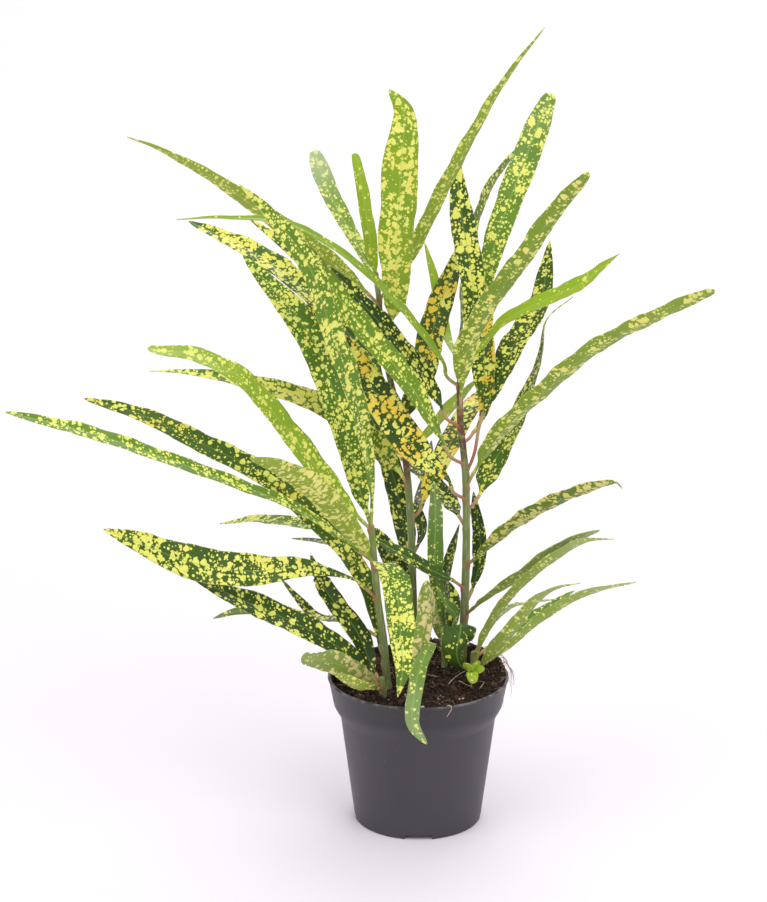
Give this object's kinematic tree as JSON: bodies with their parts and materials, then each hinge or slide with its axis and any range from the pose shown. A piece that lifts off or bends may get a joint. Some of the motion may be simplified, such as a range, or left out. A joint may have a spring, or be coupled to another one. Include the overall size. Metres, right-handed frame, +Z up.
{
  "type": "potted croton",
  "caption": "Croton house plant with long narrow spotted leaves on upright stems, standing in soil in a tapered nursery pot.",
  "frame": {"origin": "centre of the pot's flat underside, on the surface that it stands on", "axes": "+Z up along the pot's axis, +X to the right and +Y to the back as seen from the front"},
  "size_m": [0.4305, 0.2807, 0.5293],
  "materials": {
    "pot": "dark grey, slightly glossy, scuffed",
    "soil": "crumbly dark peat with pale grains",
    "foliage": "glossy green leaf with yellow spots",
    "seedling": "soft fresh green leaf"
  },
  "bodies": {
    "root": {"pot": "pot", "soil": "soil", "leafy_stem_right": "foliage", "leafy_stem_middle": "foliage", "leafy_stem_left": "foliage", "leafy_shoot_front_left": "foliage", "leafy_shoot_front_right": "foliage", "leafy_shoot_centre": "foliage", "seedling": "seedling"}
  },
  "joints": []
}
